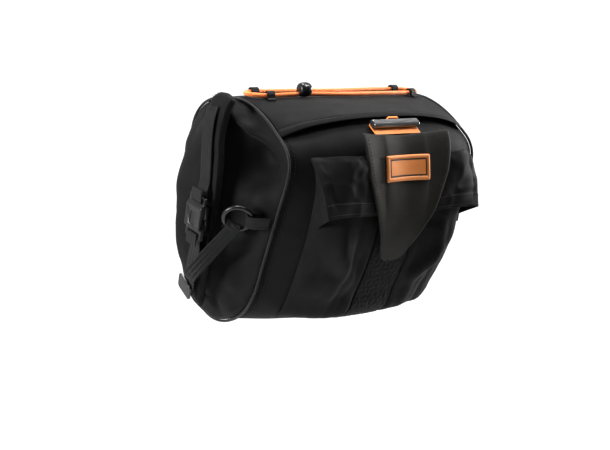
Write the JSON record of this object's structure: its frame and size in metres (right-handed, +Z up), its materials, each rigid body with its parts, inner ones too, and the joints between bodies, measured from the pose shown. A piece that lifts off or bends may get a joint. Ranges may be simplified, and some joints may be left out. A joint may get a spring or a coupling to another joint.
{
  "type": "bicycle handlebar bag",
  "caption": "Barrel-shaped bicycle handlebar bag with rolled end closures, cuffed front pouches, a central tongue, a shock cord on top and straps round the bar.",
  "frame": {"origin": "on the axis of the handlebar, midway between the two bar straps", "axes": "+X along the bar and the bag's length, to the right as seen from the front; +Y towards the rider, so the front faces -Y; +Z up"},
  "size_m": [0.377, 0.2775, 0.2656],
  "materials": {
    "pack_cloth": "matte black woven nylon",
    "tongue_skin": "matte black coated sheet",
    "loop_tape": "black loop tape with a fuzzy face",
    "piping": "grey piping",
    "webbing": "black ribbed webbing",
    "black_plastic": "satin black moulded plastic",
    "gloss_plastic": "gloss black",
    "orange_rubber": "matte orange rubber",
    "orange_cord": "orange braided sheath",
    "spacer_foam": "matte black moulded foam"
  },
  "bodies": {
    "root": {"body_shell": "pack_cloth", "top_panel": "pack_cloth", "pouch_left": "pack_cloth", "pouch_right": "pack_cloth", "pouch_cuff_left": "pack_cloth", "pouch_cuff_right": "pack_cloth", "end_roll_left": "pack_cloth", "end_roll_right": "pack_cloth", "back_panel": "pack_cloth", "tongue": "tongue_skin", "loop_strip": "loop_tape", "end_piping_left": "piping", "end_piping_right": "piping", "roll_strap_upper_left": "webbing", "roll_strap_upper_right": "webbing", "roll_strap_lower_left": "webbing", "roll_strap_lower_right": "webbing", "ring_tab_left": "webbing", "ring_tab_right": "webbing", "ring_strap_left": "webbing", "ring_strap_right": "webbing", "bar_strap_left": "webbing", "bar_strap_right": "webbing", "cord_loop_front_left": "webbing", "cord_loop_front_right": "webbing", "cord_loop_back_left": "webbing", "cord_loop_back_right": "webbing", "buckle_socket_left": "black_plastic", "buckle_socket_right": "black_plastic", "buckle_prong_left": "black_plastic", "buckle_prong_right": "black_plastic", "ring_left": "black_plastic", "ring_right": "black_plastic", "strap_clip_left": "black_plastic", "strap_clip_right": "black_plastic", "cord_lock": "black_plastic", "clasp_bar": "gloss_plastic", "clasp_plate": "orange_rubber", "clasp_tab": "orange_rubber", "patch": "orange_rubber", "shock_cord": "orange_cord", "spacer_left": "spacer_foam", "spacer_right": "spacer_foam"}
  },
  "joints": []
}
